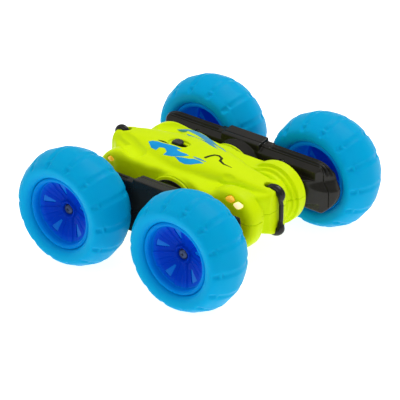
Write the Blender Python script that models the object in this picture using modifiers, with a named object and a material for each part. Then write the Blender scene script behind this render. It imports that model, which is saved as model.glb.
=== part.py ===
"""Double-sided RC stunt car: a lime body that tumbles between two black side arms, each arm
driving two soft blue wheels through a gear train.

Frame: metres, +Z up, +X forward, +Y to the car's left. The origin is on the floor under the
middle of the car. Lengths below are written in millimetres and scaled once, by MM.
"""
import math

import bmesh
import bpy
from mathutils import Matrix, Vector

MM = 0.001

# ---- driving dimensions, mm -------------------------------------------------------------
WHEEL_R = 36.0            # tyre outer radius
TYRE_W = 32.4             # tyre width
HALF_BASE = 43.2          # axle to middle of car
HALF_TRACK = 65.5         # wheel middle plane to middle of car
AXLE_Z = 36.0             # axle height, also the height of the arm pivot
BODY_Z = 40.0             # parting plane of the two body shells
ARM_IN, ARM_OUT = 28.8, 46.4   # arm between these distances from the middle plane
ARM_SPLIT = 40.0          # parting plane of the two arm shells
ARM_HALF_H = 15.6         # arm half height
ARM_Z = 37.0              # arm middle height
ARM_END = 68.0            # arm reaches this far from the pivot
PODS = ((40.0, 18.2), (-40.0, 20.0))   # front and rear pods: distance along X, radius
POD_Z = 38.0              # pod centre height
POD_OUT = 26.8            # pods' outer face
HUB_R, HUB_BORE, HUB_OUT = 17.5, 14.3, 28.0   # round hub at the side of the body
NOSE_X = 57.8             # tip of the body, front and rear
WALL = 2.0                # moulded wall
GAP = 0.3                 # clearance between neighbouring pieces
MODULE = 1.6              # gear module
T_PINION, T_IDLER, T_WHEEL = 12, 14, 14
GEAR_Y0, GEAR_Y1 = 38.4, 42.9   # gears lie between these planes in the arm
AXLE_RAD = 1.5
PIN_RAD = 1.2

IDLER_X = MODULE * (T_PINION + T_IDLER) / 2     # 20.8

for old in list(bpy.data.objects):
    bpy.data.objects.remove(old)

PARTS = bpy.data.collections.new("rc_stunt_car")
CUTTERS = bpy.data.collections.new("cutters")
bpy.context.scene.collection.children.link(PARTS)
bpy.context.scene.collection.children.link(CUTTERS)
CUTTERS.hide_render = True


# ---- materials -------------------------------------------------------------------------------
def material(name, colour, roughness, metallic=0.0, alpha=1.0):
    m = bpy.data.materials.new(name)
    m.use_nodes = True
    bsdf = m.node_tree.nodes["Principled BSDF"]
    bsdf.inputs["Base Color"].default_value = (*colour, 1.0)
    bsdf.inputs["Roughness"].default_value = roughness
    bsdf.inputs["Metallic"].default_value = metallic
    bsdf.inputs["Alpha"].default_value = alpha
    return m


LIME = material("lime_abs", (0.60, 0.80, 0.01), 0.35)
BLACK = material("black_abs", (0.015, 0.015, 0.017), 0.3)
TYRE = material("blue_tpr", (0.0, 0.42, 0.72), 0.35)
RIM = material("blue_rim", (0.0, 0.06, 0.5), 0.2)
STEEL = material("steel", (0.55, 0.55, 0.56), 0.3, 1.0)
NYLON = material("white_nylon", (0.85, 0.85, 0.80), 0.5)
BOARD = material("board_green", (0.02, 0.2, 0.06), 0.5)
CELL = material("cell_wrap", (0.05, 0.25, 0.4), 0.4)
LAMP = material("lamp_lens", (1.0, 0.75, 0.3), 0.1)


# ---- helpers -----------------------------------------------------------------------------------
def add(name, mesh, mat=None, cutter=False, smooth=True):
    o = bpy.data.objects.new(name, mesh)
    (CUTTERS if cutter else PARTS).objects.link(o)
    if mat is not None:
        mesh.materials.clear()
        mesh.materials.append(mat)
    if cutter:
        o.hide_render = True
        o.display_type = "WIRE"
    elif smooth:
        mesh.shade_smooth()
        mesh.set_sharp_from_angle(angle=math.radians(35))
    return o


def finish(bm, name):
    bmesh.ops.recalc_face_normals(bm, faces=bm.faces)
    me = bpy.data.meshes.new(name)
    bm.to_mesh(me)
    bm.free()
    return me


def box(name, x, y, z, bevel=0.0, segments=2, axis=None):
    """A box between the pairs x, y and z, mm, with its edges bevelled; axis limits the bevel to edges along it."""
    bm = bmesh.new()
    bmesh.ops.create_cube(bm, size=1.0)
    for v in bm.verts:
        v.co = Vector((
            (x[0] + x[1]) / 2 + v.co.x * (x[1] - x[0]),
            (y[0] + y[1]) / 2 + v.co.y * (y[1] - y[0]),
            (z[0] + z[1]) / 2 + v.co.z * (z[1] - z[0]))) * MM
    if bevel:
        edges = [e for e in bm.edges if axis is None
                 or abs((e.verts[0].co - e.verts[1].co).normalized()["xyz".index(axis)]) > 0.9]
        bmesh.ops.bevel(bm, geom=edges, offset=bevel * MM, segments=segments, affect="EDGES", profile=0.5)
    return finish(bm, name)


def rod_y(name, r, y0, y1, x=0.0, z=0.0, seg=24, r2=None, phase=0.0, bevel=0.0):
    """A cylinder or cone along Y, mm. r2 is the radius at y1."""
    bm = bmesh.new()
    bmesh.ops.create_cone(bm, cap_ends=True, segments=seg, radius1=r * MM, radius2=(r if r2 is None else r2) * MM,
                          depth=abs(y1 - y0) * MM, matrix=Matrix.Rotation(phase, 4, "Z"))
    # local +Z becomes world +Y
    bmesh.ops.transform(bm, matrix=Matrix.Rotation(-math.pi / 2, 4, "X"), verts=bm.verts)
    bmesh.ops.translate(bm, vec=Vector((x, (y0 + y1) / 2, z)) * MM, verts=bm.verts)
    if bevel:
        edges = [e for e in bm.edges if abs(e.verts[0].co.y - e.verts[1].co.y) < 1e-7]
        bmesh.ops.bevel(bm, geom=edges, offset=bevel * MM, segments=2, affect="EDGES", profile=0.5)
    return finish(bm, name)


def rod_z(name, r, z0, z1, x=0.0, y=0.0, seg=16, r2=None):
    bm = bmesh.new()
    bmesh.ops.create_cone(bm, cap_ends=True, segments=seg, radius1=r * MM, radius2=(r if r2 is None else r2) * MM,
                          depth=(z1 - z0) * MM, matrix=Matrix.Translation(Vector((x, y, (z0 + z1) / 2)) * MM))
    return finish(bm, name)


def baked(obj):
    """The evaluated mesh of obj with its modifiers applied, in world space; obj is removed."""
    bpy.context.view_layer.update()
    dg = bpy.context.evaluated_depsgraph_get()
    me = bpy.data.meshes.new_from_object(obj.evaluated_get(dg))
    me.transform(obj.matrix_world)
    bpy.data.objects.remove(obj)
    bm = bmesh.new()
    bm.from_mesh(me)
    bmesh.ops.remove_doubles(bm, verts=bm.verts, dist=1e-6)
    bmesh.ops.recalc_face_normals(bm, faces=bm.faces)
    bm.to_mesh(me)
    bm.free()
    return me


def boolean(mesh, *steps):
    """mesh after a run of (operation, mesh) Boolean steps."""
    o = add("work", mesh, cutter=True)
    tools = []
    for i, (operation, tool) in enumerate(steps):
        t = add("tool", tool, cutter=True)
        tools.append(t)
        m = o.modifiers.new("b%d" % i, "BOOLEAN")
        m.operation = operation
        m.solver = "EXACT"
        m.object = t
    me = baked(o)
    for t in tools:
        bpy.data.objects.remove(t)
    return me


def turned(name, profile, seg, phase=0.0):
    """A closed profile of (radius, y) points swept round the Y axis with a Screw modifier, mm."""
    me = bpy.data.meshes.new(name)
    n = len(profile)
    # the profile is drawn in the XZ plane and swept about Z, then laid along Y
    me.from_pydata([(r * MM, 0, t * MM) for r, t in profile], [(i, (i + 1) % n) for i in range(n)], [])
    o = add(name, me, cutter=True)
    s = o.modifiers.new("screw", "SCREW")
    s.steps = s.render_steps = seg
    s.use_merge_vertices = True
    s.merge_threshold = 1e-5
    s.use_smooth_shade = True
    o.rotation_euler = (-math.pi / 2, 0, 0)
    me = baked(o)
    me.transform(Matrix.Rotation(phase, 4, "Y"))
    return me


def prism_y(name, outline, y0, y1):
    """A flat outline of (x, z) points, mm, extruded along Y: a 2D curve filled on both sides."""
    cu = bpy.data.curves.new(name, "CURVE")
    cu.dimensions = "2D"
    cu.fill_mode = "BOTH"
    cu.extrude = abs(y1 - y0) / 2 * MM
    sp = cu.splines.new("POLY")
    sp.points.add(len(outline) - 1)
    for p, (x, z) in zip(sp.points, outline):
        p.co = (x * MM, z * MM, 0, 1)
    sp.use_cyclic_u = True
    o = bpy.data.objects.new(name, cu)
    CUTTERS.objects.link(o)
    o.rotation_euler = (math.pi / 2, 0, 0)      # curve x, y lie in world x, z
    o.location = (0, (y0 + y1) / 2 * MM, 0)
    return baked(o)


def prism_z(name, outline, z0, z1):
    """A flat outline of (x, y) points, mm, extruded along Z."""
    cu = bpy.data.curves.new(name, "CURVE")
    cu.dimensions = "2D"
    cu.fill_mode = "BOTH"
    cu.extrude = abs(z1 - z0) / 2 * MM
    sp = cu.splines.new("POLY")
    sp.points.add(len(outline) - 1)
    for p, (x, y) in zip(sp.points, outline):
        p.co = (x * MM, y * MM, 0, 1)
    sp.use_cyclic_u = True
    o = bpy.data.objects.new(name, cu)
    CUTTERS.objects.link(o)
    o.location = (0, 0, (z0 + z1) / 2 * MM)
    return baked(o)


def moved(mesh, x=0.0, y=0.0, z=0.0, turn=0.0):
    me = mesh.copy()
    me.transform(Matrix.Translation(Vector((x, y, z)) * MM) @ Matrix.Rotation(turn, 4, "Z"))
    return me


def at(name, mesh, mat, x=0.0, y=0.0, z=0.0, turn=0.0):
    """Adds mesh as a part whose origin is at (x, y, z) mm: mesh is drawn about that origin."""
    o = add(name, mesh, mat)
    o.location = Vector((x, y, z)) * MM
    o.rotation_euler = (0, 0, turn)
    return o


def arc(cx, cz, r, a0, a1, n):
    return [(cx + r * math.cos(math.radians(a0 + (a1 - a0) * i / n)),
             cz + r * math.sin(math.radians(a0 + (a1 - a0) * i / n))) for i in range(n + 1)]


# ---- body shells -------------------------------------------------------------------------------
# body sections from tail to nose: x, half width, half height, mm
SECTIONS = ((-57.8, 6.9, 12.0), (-56.8, 7.7, 12.9), (-52.0, 13.0, 14.6), (-46.0, 17.0, 16.6), (-39.0, 20.5, 18.4),
            (-28.0, 22.5, 20.0), (-17.0, 23.0, 20.6), (-5.0, 23.0, 20.5), (6.0, 22.0, 20.0), (18.0, 20.5, 19.2),
            (30.0, 19.0, 17.8), (42.0, 16.5, 16.0), (52.0, 13.0, 14.3), (56.8, 7.7, 13.0), (57.8, 6.9, 12.2))


def hull(name, inset, around=20):
    """The middle of the body: rounded sections lofted from tip to tip. inset draws the hollow inside."""
    bm = bmesh.new()
    rings = []
    k = (NOSE_X - inset) / NOSE_X
    for x, w, h in SECTIONS:
        w, h = w - inset, h - inset
        n = 2.9 + 1.6 * (abs(x) / NOSE_X) ** 2
        ring = []
        for i in range(around):
            a = 2 * math.pi * (i + 0.5) / around
            c, s = math.cos(a), math.sin(a)
            ring.append(bm.verts.new(Vector((
                x * k,
                math.copysign(abs(c) ** (2 / n), c) * w,
                BODY_Z + math.copysign(abs(s) ** (2 / n), s) * h)) * MM))
        rings.append(ring)
    for a, b in zip(rings, rings[1:]):
        for i in range(around):
            j = (i + 1) % around
            bm.faces.new((a[i], a[j], b[j], b[i]))
    bm.faces.new(rings[0])
    bm.faces.new(rings[-1][::-1])
    return finish(bm, name)


def side_outline(inset, web, hub_r):
    """Outline of a body side in the XZ plane: two round pods, a hub and the web that joins them."""
    (fx, fr), (rx, rr) = PODS
    fr, rr = fr - inset, rr - inset

    def edge(x, sign):
        best = web[1] if sign > 0 else -web[0]
        if x > fx or x < rx:
            best = -1e9
        for cx, cz, r in ((fx, POD_Z, fr), (rx, POD_Z, rr), (0.0, AXLE_Z, hub_r)):
            if abs(x - cx) < r:
                best = max(best, sign * cz + math.sqrt(r**2 - (x - cx) ** 2))
        return sign * best
    xs = [fx + fr * math.cos(math.radians(a)) for a in (20, 43, 66, 90, 116, 140)]
    xs += [rx - rr * math.cos(math.radians(a)) for a in (20, 43, 66, 90, 116, 140)]
    xs += [s * hub_r * c for s in (1, -1) for c in (1.05, 0.9, 0.66, 0.33)] + [0.0]
    xs = sorted(set(round(v, 3) for v in xs))
    tip = [(fx + fr, POD_Z)]
    tail = [(rx - rr, POD_Z)]
    return tip + [(x, edge(x, 1)) for x in xs[::-1]] + tail + [(x, edge(x, -1)) for x in xs]


def body_form(name, inset):
    me = hull(name, inset)
    steps = []
    for s in (1, -1):
        if inset:
            steps.append(("UNION", prism_y("p", side_outline(2.6 + inset, (30.5 + inset, 49.5 - inset), 15.9 - inset),
                                           s * 3.0, s * (POD_OUT - inset))))
        else:
            a = prism_y("p", side_outline(2.6, (30.5, 49.5), 16.0), s * 10.0, s * 17.6)
            b = prism_y("p", side_outline(0.0, (29.5, 50.5), HUB_R - 0.6), s * 17.0, s * POD_OUT)
            c = rod_y("p", HUB_R, s * 12.0, s * HUB_OUT, z=AXLE_Z, seg=24)
            steps += [("UNION", a), ("UNION", b), ("UNION", c)]
    return boolean(me, *steps)


SHELL_POSTS = [(sx * 38.0, sy * 19.5) for sx in (1, -1) for sy in (1, -1)]
SWITCH_X = -17.0
LAMP_X, LAMP_Z = 45.0, 49.4
HOOK_X = 51.4


def shell(upper):
    """One half of the body: the outside less the hollow, with screw posts, then cut at the parting plane and bored."""
    keep = box("keep", (-90, 90), (-60, 60), (BODY_Z + GAP / 2, 90) if upper else (-10, BODY_Z - GAP / 2))
    steps = [("DIFFERENCE", body_form("inner", WALL)),
             ("DIFFERENCE", rod_y("bore", HUB_BORE, -34, 34, z=AXLE_Z, seg=24))]
    # posts that the shell screws pass through below and bite into above
    for x, y in SHELL_POSTS:
        span = (BODY_Z + 3.0, 55.0 if x > 0 else 56.6) if upper else (21.0 if x > 0 else 19.4, BODY_Z + 2.6)
        steps.append(("UNION", rod_z("post", 3.0 if upper else 3.6, *span, x, y, 10)))
    me = boolean(body_form("outer", 0.0), *steps, ("INTERSECT", keep))
    steps = [("DIFFERENCE", rod_z("pilot", 1.45, 22.0, 52.0, x, y, 8)) for x, y in SHELL_POSTS]
    # openings for the ends of the bumpers
    steps += [("DIFFERENCE", rod_z("hook", 2.3, 50.0 if upper else 15, 66 if upper else 30, x, 0, 12)) for x in (HOOK_X, -HOOK_X)]
    if upper:
        steps += [("DIFFERENCE", box("recess", (SWITCH_X - 7, SWITCH_X + 7), (-3.2, 3.2), (59.6, 66), 1.0, 2, "z")),
                  ("DIFFERENCE", box("slot", (SWITCH_X - 5, SWITCH_X + 5), (-1.6, 1.6), (56.0, 66)))]
        # the lamps sit in bores in the pods' outer walls
        steps += [("DIFFERENCE", rod_y("lamp", 2.8, s * 20, s * 30, x, LAMP_Z, 10)) for x in (LAMP_X, -LAMP_X) for s in (1, -1)]
        return boolean(me, *steps)
    steps += [("DIFFERENCE", rod_z("head", 2.75, 10, 26.2, x, y, 12)) for x, y in SHELL_POSTS]
    # battery opening, with the pad that its door sits on and the post of the door's screw
    post = turned("door_post", [(1.15, 25.0), (3.9, 25.0), (3.9, 21.9), (5.3, 21.9), (5.3, 30.3), (0.0, 30.3), (0.0, 29.3), (1.15, 29.3)], 14)
    post.transform(Matrix.Translation(Vector((21.0, 0, 0)) * MM) @ Matrix.Rotation(math.pi / 2, 4, "X"))
    steps += [("UNION", box("pad", (-34.13, 28.17), (-11.1, 11.1), (21.47, 23.6))),
              ("DIFFERENCE", rod_z("clear", 4.6, 10, 27.0, 21.0, 0, 14)),
              ("UNION", post),
              ("DIFFERENCE", box("ledge", (-32.43, 26.37), (-9.87, 9.87), (10, 22.13))),
              ("DIFFERENCE", box("bay", (-29.5, 15.4), (-8.4, 8.4), (9, 26.3)))]
    return boolean(me, *steps)


def body():
    add("upper_shell", shell(True), LIME)
    add("lower_shell", shell(False), LIME)
    # battery door with its tongue, and the screw that holds it
    door = boolean(box("door", (-32.0, 26.0), (-9.5, 9.5), (20.5, 21.8), 1.4, 2, "z"),
                   ("UNION", box("ribs", (-28.0, 14.4), (-7.6, 7.6), (21.5, 23.8), 1.0, 1, "z")),
                   ("UNION", rod_z("boss", 3.5, 21.0, 24.6, 21.0, 0, 16)),
                   ("DIFFERENCE", rod_z("hole", 1.25, 10, 30, 21.0, 0, 10)),
                   ("DIFFERENCE", rod_z("counterbore", 2.6, 10, 23.3, 21.0, 0, 12)))
    add("battery_door", door, LIME)
    add("battery_door_screw", screw_z(21.0, 0, 21.3, 7.3, 2.3, 0.85), STEEL)
    # one cylindrical cell along the middle of the car
    cell = turned("cell", [(0.0, -21.6), (6.4, -21.6), (7.0, -21.0), (7.0, 20.2), (6.4, 20.8), (3.0, 20.8), (2.6, 21.8), (0.0, 21.8)][::-1], 20)
    cell.transform(Matrix.Rotation(math.pi / 2, 4, "Z"))
    at("battery_cell", cell, CELL, -6.8, 0, 31.5)
    # receiver board above it
    board = boolean(box("board", (-24, 24), (-9.5, 9.5), (47.0, 48.4)),
                    ("UNION", box("chip", (-4, 4), (-4, 4), (48.0, 50.0))),
                    ("UNION", box("can", (10, 15), (-6, 2), (48.0, 51.0))),
                    ("DIFFERENCE", rod_z("h", 1.2, 40, 60, 21, 7, 8)),
                    ("DIFFERENCE", rod_z("h", 1.2, 40, 60, 21, -7, 8)))
    add("receiver_board", board, BOARD)
    # slide switch under the roof
    add("switch_body", boolean(box("sw", (SWITCH_X - 6, SWITCH_X + 6), (-3, 3), (53.6, 58.0), 0.4, 1),
                               ("DIFFERENCE", box("slot", (SWITCH_X - 4.2, SWITCH_X + 4.2), (-1.2, 1.2), (55.2, 62)))), BLACK)
    slider = boolean(box("sl", (-3.2, 1.0), (-2.4, 2.4), (0.0, 1.3), 0.3, 1),
                     ("UNION", box("stem", (-1.9, -0.3), (-0.8, 0.8), (-4.2, 0.6))))
    slider = boolean(slider, *[("DIFFERENCE", box("g", (-2.55 + 1.1 * i, -2.05 + 1.1 * i), (-4, 4), (0.85, 2))) for i in range(3)])
    at("switch_slider", slider, BLACK, SWITCH_X - 0.2, 0, 59.75)
    for fx, fn in ((1, "front"), (-1, "rear")):
        for sy, sn in ((1, "left"), (-1, "right")):
            # a lamp with a domed face and a flange behind the wall
            lamp = turned("lamp", [(0.0, -5.0), (2.5, -5.0), (2.5, 1.0), (1.7, 1.8), (0.0, 1.95)][::-1], 12)
            if sy < 0:
                lamp.transform(Matrix.Rotation(math.pi, 4, "Z"))
            at(f"{fn}_{sn}_lamp", lamp, LAMP, fx * LAMP_X, sy * 25.6, LAMP_Z)
            add(f"shell_screw_{fn}_{sn}", screw_z(fx * 38.0, sy * 19.5, 23.9, 24.0, 2.4, 1.1), STEEL)
    for fx, fn in ((1, "front"), (-1, "rear")):
        o = add(f"{fn}_bumper", bumper(), BLACK)
        if fx < 0:
            o.rotation_euler = (0, 0, math.pi)


def screw_z(x, y, z, length, head, shank, up=1):
    """A pan-head screw standing up from z, its head underneath, with a cross in the head."""
    me = boolean(rod_z("head", head, z, z + 1.9, x, y, 10),
                 ("UNION", rod_z("shank", shank, z + 1.0, z + length, x, y, 6)),
                 ("DIFFERENCE", box("c1", (x - 1.5, x + 1.5), (y - 0.3, y + 0.3), (z - 1, z + 0.8))),
                 ("DIFFERENCE", box("c2", (x - 0.3, x + 0.3), (y - 1.5, y + 1.5), (z - 1, z + 0.8))))
    return me


def bumper():
    """A moulded rod that hooks through the top, runs down the tip and hooks through the underside, with a ball at each bend."""
    half = [(HOOK_X, 51.8), (HOOK_X, 54.0), (52.4, 55.5), (54.8, 56.0), (57.4, 55.8), (59.3, 54.5), (60.0, 52.0)]
    path = half + [(60.0, 46.0), (60.0, 34.0)] + [(x, 2 * BODY_Z - z) for x, z in half[::-1]]
    cu = bpy.data.curves.new("rod", "CURVE")
    cu.dimensions = "3D"
    cu.bevel_depth = 1.5 * MM
    cu.bevel_resolution = 1
    cu.use_fill_caps = True
    sp = cu.splines.new("POLY")
    sp.points.add(len(path) - 1)
    for p, (x, z) in zip(sp.points, path):
        p.co = (x * MM, 0, z * MM, 1)
    o = bpy.data.objects.new("rod", cu)
    CUTTERS.objects.link(o)
    me = baked(o)
    steps = []
    for z in (54.3, 2 * BODY_Z - 54.3):
        bm = bmesh.new()
        bmesh.ops.create_uvsphere(bm, u_segments=10, v_segments=6, radius=2.3 * MM,
                                  matrix=Matrix.Translation(Vector((60.4, 0, z)) * MM))
        steps.append(("UNION", finish(bm, "ball")))
    return boolean(me, *steps)


# ---- gears -------------------------------------------------------------------------------------
def gear(name, teeth, phase_deg, bore, web=True):
    """A spur gear about Y at the origin, between the gear planes, a tooth centred at phase_deg from +X in the XZ plane."""
    pitch = MODULE * teeth / 2
    out = []
    for k in range(teeth):
        a = math.radians(phase_deg) + 2 * math.pi * k / teeth
        step = 2 * math.pi / teeth
        for share, r in ((-0.29, pitch - 1.25 * MODULE), (-0.125, pitch + 0.85 * MODULE),
                         (0.125, pitch + 0.85 * MODULE), (0.29, pitch - 1.25 * MODULE)):
            out.append((r * math.cos(a + share * step), r * math.sin(a + share * step)))
    me = prism_y(name, out, GEAR_Y0, GEAR_Y1)
    steps = [("DIFFERENCE", rod_y("bore", bore, GEAR_Y0 - 3, GEAR_Y1 + 3, seg=10))]
    return boolean(me, *steps)


# ---- one arm, drawn on the left; the right arm is the same arm turned half round ------------------
def arm_solid(inset):
    """One arm's solid form: a rounded bar whose ends are cut back on the inner side."""
    h, e = ARM_HALF_H - inset, ARM_END - inset
    side = arc(e - h, ARM_Z, h, 90, -90, 9) + arc(-(e - h), ARM_Z, h, -90, -270, 9)
    y0, y1 = ARM_IN + inset, ARM_OUT - inset
    corner = [(e - 13.4, y0), (e - 7.0, y0 + 4.6), (e - 2.4, y0 + 10.2 - inset / 2), (e - 0.4, y1 - 2.2), (e - 2.6, y1)]
    plan = corner + [(-x, y) for x, y in corner[::-1]]
    return boolean(prism_y("arm", side, y0, y1), ("INTERSECT", prism_z("plan", plan, -5, 90)))


def arm_shell(outer_half):
    z = AXLE_Z
    me = arm_solid(0.0)
    steps = [("UNION", box("block", (-16, 16), (ARM_IN, ARM_OUT), (ARM_Z - 17.8, ARM_Z + 17.8), 1.2, 1, "y"))]
    if not outer_half:
        steps += [("UNION", rod_y("collar", 18.6, 28.9, 31.5, z=z, seg=24)),
                  ("UNION", rod_y("drum", HUB_BORE - GAP, 12.0, 31.0, z=z, seg=20))]
    steps += [("DIFFERENCE", arm_solid(1.8)),
              ("DIFFERENCE", box("in", (-14.2, 14.2), (ARM_IN + 1.8, ARM_OUT - 1.8), (ARM_Z - 16.0, ARM_Z + 16.0)))]
    if outer_half:
        for x in (IDLER_X, -IDLER_X):
            steps.append(("UNION", rod_y("boss", 3.2, 43.3, 45.4, x, z, 8)))
            steps.append(("DIFFERENCE", rod_y("hole", PIN_RAD + GAP, 40, 45.5, x, z, 8)))
        for x in (HALF_BASE, -HALF_BASE):
            steps.append(("UNION", rod_y("boss", 4.5, 43.3, 48.0, x, z, 10)))
            steps.append(("DIFFERENCE", rod_y("hole", AXLE_RAD + GAP, 40, 52, x, z, 10)))
        for x in ARM_SCREWS:
            steps.append(("UNION", rod_y("post", 3.0, 40.1, 45.4, x, z + 11.6, 8)))
            steps.append(("DIFFERENCE", rod_y("pilot", 1.3, 36, 45.0, x, z + 11.6, 8)))
        keep = box("keep", (-90, 90), (ARM_SPLIT + GAP / 2, 70), (0, 90))
    else:
        steps.append(("DIFFERENCE", rod_y("motor", 12.2, 5.0, 32.0, z=z, seg=16)))
        for x in (IDLER_X, -IDLER_X):
            steps.append(("UNION", rod_y("boss", 3.2, 29.5, 37.9, x, z, 8)))
            steps.append(("DIFFERENCE", rod_y("hole", PIN_RAD + GAP, 31.0, 44, x, z, 8)))
        for x in (HALF_BASE, -HALF_BASE):
            steps.append(("UNION", rod_y("boss", 4.5, 29.5, 37.9, x, z, 8)))
            steps.append(("DIFFERENCE", rod_y("hole", AXLE_RAD + GAP, 31.0, 44, x, z, 10)))
        for x in ARM_SCREWS:
            steps.append(("UNION", rod_y("post", 3.0, 30.0, 39.8, x, z + 11.6, 8)))
            steps.append(("DIFFERENCE", rod_y("pilot", 1.3, 20, 44, x, z + 11.6, 10)))
            steps.append(("DIFFERENCE", rod_y("head", 2.35, 20, 31.4, x, z + 11.6, 10)))
        keep = box("keep", (-90, 90), (0, ARM_SPLIT - GAP / 2), (0, 90))
    return boolean(me, *steps, ("INTERSECT", keep))


ARM_SCREWS = (32.3, -32.3)


def tyre():
    """Hollow tyre section, open at the bead."""
    outer = [(22.4, -12.0), (24.4, -15.2), (28.0, -16.2), (33.0, -13.4), (36.1, -6.5),
             (36.1, 6.5), (33.0, 13.4), (28.0, 16.2), (24.4, 15.2), (22.4, 12.0)]
    inner = [(25.4, 11.2), (32.4, 8.6), (32.4, -8.6), (25.4, -11.2)]
    seg = 28
    k = 1 / math.cos(math.pi / seg)
    pts = [((r if r < 36 else WHEEL_R) * (k if r > 32 else 1.0), t) for r, t in outer + inner]
    return turned("tyre", pts[::-1], seg, math.pi / seg)


def rim():
    """Barrel, dished disc with five windows, and hub."""
    prof = [(2.2, -14.0), (5.0, -14.0), (5.0, 1.0), (19.2, 4.5), (19.2, -13.0), (22.1, -13.0),
            (22.1, 13.0), (20.0, 13.0), (19.0, 9.0), (5.6, 4.1), (2.2, 4.1)]
    me = turned("rim", prof[::-1], 20)
    steps = []
    for i in range(5):
        a = math.radians(69 + 72 * i)
        w = math.radians(9)
        pts = [(8.0, -w * 0.9), (17.4, -w * 1.5), (17.4, w * 1.5), (8.0, w * 0.9)]
        out = [(r * math.cos(a + b), r * math.sin(a + b)) for r, b in pts]
        steps.append(("DIFFERENCE", prism_y("win", out, -4.0, 12.0)))
    return boolean(me, *steps)


def side(sn, turn):
    """Everything that one arm carries. turn is 0 on the left and pi on the right."""
    def put(name, mesh, mat):
        o = add(name, mesh, mat)
        o.rotation_euler = (0, 0, turn)
        return o

    def place(name, mesh, mat, x, y):
        o = add(name, mesh, mat)
        o.location = Matrix.Rotation(turn, 4, "Z") @ (Vector((x, y, AXLE_Z)) * MM)
        o.rotation_euler = (0, 0, turn)
        return o

    put(f"{sn}_arm_inner_shell", MESH["arm_in"], BLACK)
    put(f"{sn}_arm_outer_shell", MESH["arm_out"], BLACK)
    put(f"{sn}_drive_motor", MESH["motor"], STEEL)
    put(f"{sn}_pivot_ring", MESH["ring"], BLACK)
    place(f"{sn}_motor_pinion", MESH["pinion"], NYLON, 0, 0)
    for x, en in ((1, "front"), (-1, "rear")):
        if turn:
            en = "rear" if en == "front" else "front"
        place(f"{sn}_{en}_idler_gear", MESH["idler"], NYLON, x * IDLER_X, 0)
        place(f"{sn}_{en}_idler_pin", MESH["pin"], STEEL, x * IDLER_X, 0)
        place(f"{sn}_{en}_arm_screw", MESH["arm_screw"], STEEL, x * ARM_SCREWS[0], 0)
        place(f"{sn}_{en}_wheel_gear", MESH["wheel_gear"], NYLON, x * HALF_BASE, 0)
        place(f"{sn}_{en}_axle", MESH["axle"], STEEL, x * HALF_BASE, 0)
        place(f"{sn}_{en}_rim", MESH["rim"], RIM, x * HALF_BASE, HALF_TRACK)
        place(f"{sn}_{en}_tyre", MESH["tyre"], TYRE, x * HALF_BASE, HALF_TRACK)
        place(f"{sn}_{en}_wheel_screw", MESH["wheel_screw"], STEEL, x * HALF_BASE, HALF_TRACK)


def screw_y(head_y, length, head, shank, z=0.0, out=1):
    """A screw along Y with its head at head_y; out is the side that the head faces."""
    s = out
    return boolean(rod_y("head", head, head_y, head_y - s * 1.8, z=z, seg=10),
                   ("UNION", rod_y("shank", shank, head_y - s * 1.0, head_y - s * length, z=z, seg=6)),
                   ("DIFFERENCE", box("c1", (-1.5, 1.5), sorted((head_y + s, head_y - s * 0.8)), (z - 0.3, z + 0.3))),
                   ("DIFFERENCE", box("c2", (-0.3, 0.3), sorted((head_y + s, head_y - s * 0.8)), (z - 1.5, z + 1.5))))


MESH = {}


def main():
    body()
    MESH["arm_in"] = arm_shell(False)
    MESH["arm_out"] = arm_shell(True)
    can = boolean(rod_y("can", 10.0, 12.4, 34.0, z=AXLE_Z, seg=16),
                  ("INTERSECT", box("flats", (-12, 12), (10, 38), (AXLE_Z - 7.6, AXLE_Z + 7.6))),
                  ("UNION", rod_y("nose", 3.0, 33.5, 35.6, z=AXLE_Z, seg=12)),
                  ("UNION", rod_y("shaft", 1.0, 35.0, 43.0, z=AXLE_Z, seg=8)))
    MESH["motor"] = can
    ring = turned("ring", [(14.6, 28.15), (17.4, 28.15), (17.4, 28.75), (14.6, 28.75)][::-1], 20)
    ring.transform(Matrix.Translation((0, 0, AXLE_Z * MM)))
    MESH["ring"] = ring
    MESH["pinion"] = gear("pinion", T_PINION, 0.0, 1.3)
    # the idlers present a gap where the gears on either side of them present a tooth
    MESH["idler"] = gear("idler", T_IDLER, 180.0 / T_IDLER, PIN_RAD + 0.35)
    MESH["wheel_gear"] = gear("wheel_gear", T_WHEEL, 0.0, AXLE_RAD + GAP)
    MESH["pin"] = rod_y("pin", PIN_RAD, 31.4, 45.1, seg=8)
    # stepped axle: a journal in the arm and a socket for the wheel's screw
    MESH["axle"] = boolean(rod_y("axle", AXLE_RAD, 31.4, 67.0, seg=10),
                           ("UNION", rod_y("collar", 2.6, 48.4, 50.6, seg=10)),
                           ("DIFFERENCE", rod_y("thread", 0.95, 58.6, 70.0, seg=8)))
    MESH["arm_screw"] = screw_y(29.4, 15.2, 2.0, 1.0, z=11.6, out=-1)
    MESH["wheel_screw"] = screw_y(5.9, 12.0, 3.2, 0.65, out=1)
    MESH["rim"] = rim()
    MESH["tyre"] = tyre()
    side("left", 0.0)
    side("right", math.pi)


main()
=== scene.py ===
import math

import bmesh
import bpy
import numpy as np
from mathutils import Matrix, Vector
from mathutils.bvhtree import BVHTree
from mathutils.geometry import delaunay_2d_cdt


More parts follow.
